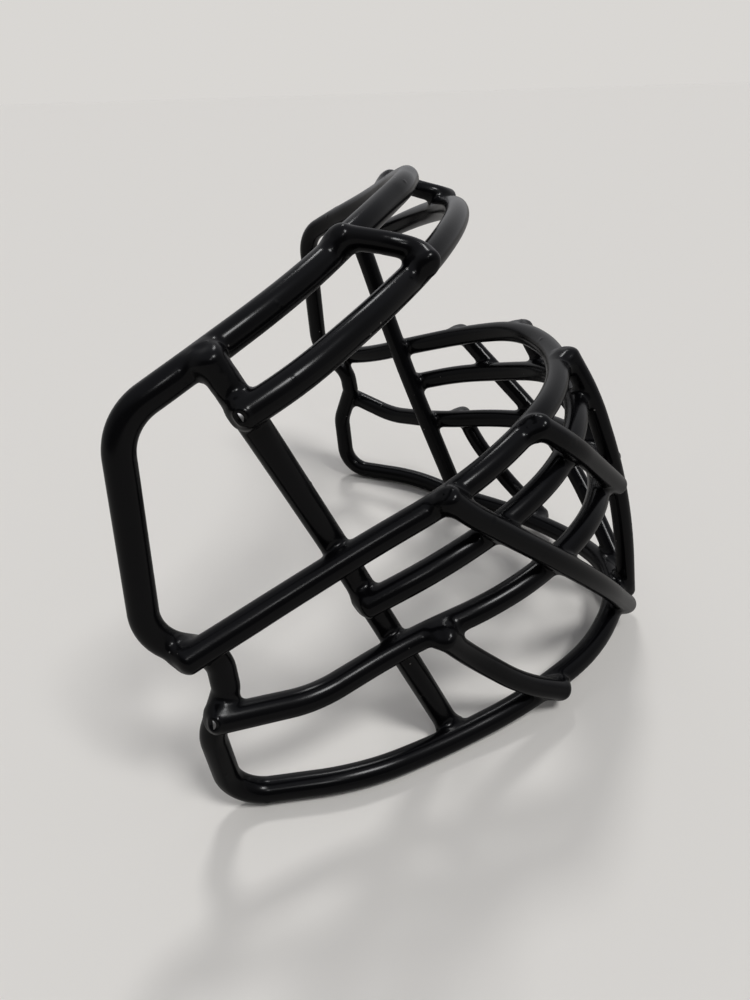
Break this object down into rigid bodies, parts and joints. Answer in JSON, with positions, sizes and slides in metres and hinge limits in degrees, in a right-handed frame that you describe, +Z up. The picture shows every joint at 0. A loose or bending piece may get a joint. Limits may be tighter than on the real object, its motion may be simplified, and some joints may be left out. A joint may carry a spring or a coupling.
{
  "type": "helmet face mask",
  "caption": "Black dip-coated welded wire face mask for a football helmet, with a brow bar, mouth bars, side uprights and slanted chin bars.",
  "frame": {"origin": "on the surface the mask stands on, under the middle of its box, with the mask resting on its chin bar", "axes": "+Z up, -Y out of the mask's front, +Y towards the wearer, -X towards the wearer's right"},
  "size_m": [0.236, 0.1502, 0.1651],
  "materials": {
    "coat": "gloss black dip coat",
    "steel": "drawn wire, hidden under the coat"
  },
  "bodies": {
    "root": {"frame_wire": "steel", "lower_brow_bar_wire": "steel", "upper_mouth_bar_wire": "steel", "middle_mouth_bar_wire": "steel", "lower_mouth_bar_wire": "steel", "upright_right_wire": "steel", "upright_left_wire": "steel", "brow_link_right_wire": "steel", "brow_link_left_wire": "steel", "jaw_slant_right_wire": "steel", "jaw_slant_left_wire": "steel", "outer_slant_right_wire": "steel", "outer_slant_left_wire": "steel", "inner_slant_right_wire": "steel", "inner_slant_left_wire": "steel", "centre_bar_wire": "steel", "frame_brow_coat": "coat", "frame_side_left_coat": "coat", "frame_chin_coat": "coat", "frame_side_right_coat": "coat", "lower_brow_bar_coat": "coat", "upper_mouth_bar_coat": "coat", "middle_mouth_bar_coat": "coat", "lower_mouth_bar_coat": "coat", "upright_right_coat": "coat", "upright_left_coat": "coat", "brow_link_right_coat": "coat", "brow_link_left_coat": "coat", "jaw_slant_right_coat": "coat", "jaw_slant_left_coat": "coat", "outer_slant_right_coat": "coat", "outer_slant_left_coat": "coat", "inner_slant_right_coat": "coat", "inner_slant_left_coat": "coat", "centre_bar_coat": "coat"}
  },
  "joints": []
}
